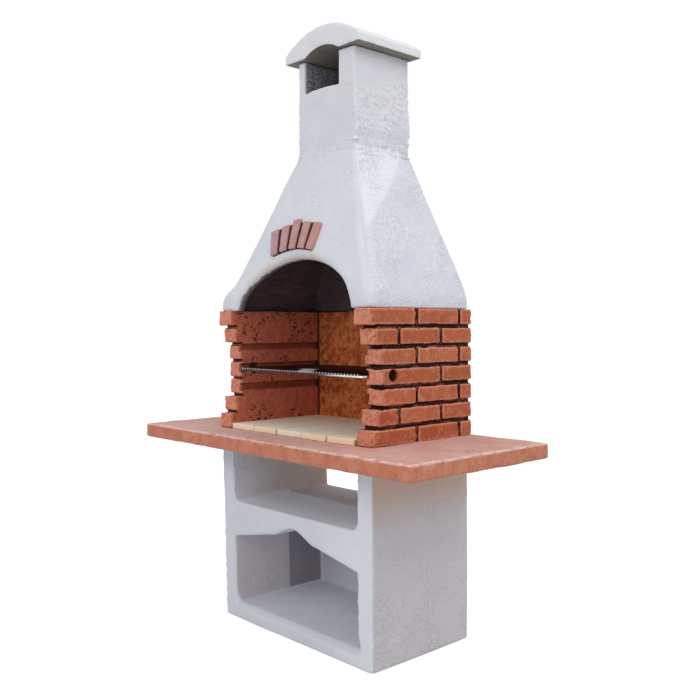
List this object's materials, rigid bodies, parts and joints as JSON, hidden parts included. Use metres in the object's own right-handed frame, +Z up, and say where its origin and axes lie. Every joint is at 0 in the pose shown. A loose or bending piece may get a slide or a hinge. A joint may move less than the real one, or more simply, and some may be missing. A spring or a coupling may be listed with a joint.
{
  "type": "outdoor masonry barbecue",
  "caption": "Freestanding precast masonry barbecue: niched pedestal, wide worktop, brick fire box with sliding grill, tapering arched hood, square chimney with smoke outlet and barrel cap.",
  "frame": {"origin": "on the ground, under the middle of the worktop", "axes": "+Z up, -Y towards the front with the arched mouth, +X towards the right side seen from the front"},
  "size_m": [1.25, 0.57, 1.8872],
  "materials": {
    "white_render": "rough trowelled white render on precast concrete",
    "terracotta_slab": "cast terracotta-coloured concrete with small pits",
    "red_brick": "matt brick-faced concrete with dark sunk joints",
    "firebrick": "matt pressed fireclay",
    "pink_stone": "matt cast stone",
    "chrome_steel": "bright plated wire"
  },
  "bodies": {
    "masonry": {"pedestal_front_module": "white_render", "pedestal_rear_module": "white_render", "worktop_slab": "terracotta_slab", "left_brick_panel": "red_brick", "right_brick_panel": "red_brick", "back_brick_panel": "red_brick", "hearth_firebrick_front_1": "firebrick", "hearth_firebrick_front_2": "firebrick", "hearth_firebrick_front_3": "firebrick", "hearth_firebrick_front_4": "firebrick", "hearth_firebrick_front_5": "firebrick", "hearth_firebrick_rear_1": "firebrick", "hearth_firebrick_rear_2": "firebrick", "hearth_firebrick_rear_3": "firebrick", "hearth_firebrick_rear_4": "firebrick", "hearth_firebrick_rear_5": "firebrick", "hood": "white_render", "arch_stone_1": "pink_stone", "arch_stone_2": "pink_stone", "arch_stone_3": "pink_stone", "arch_stone_4": "pink_stone", "arch_stone_5": "pink_stone", "chimney_shaft": "white_render", "chimney_cap": "white_render"},
    "grill": {"grill_frame": "chrome_steel", "grill_grid": "chrome_steel"}
  },
  "joints": [
    {"name": "grill_slide", "type": "slide", "parent": "masonry", "child": "grill", "axis": [0, -1, 0], "range_m": [0, 0.4]}
  ]
}
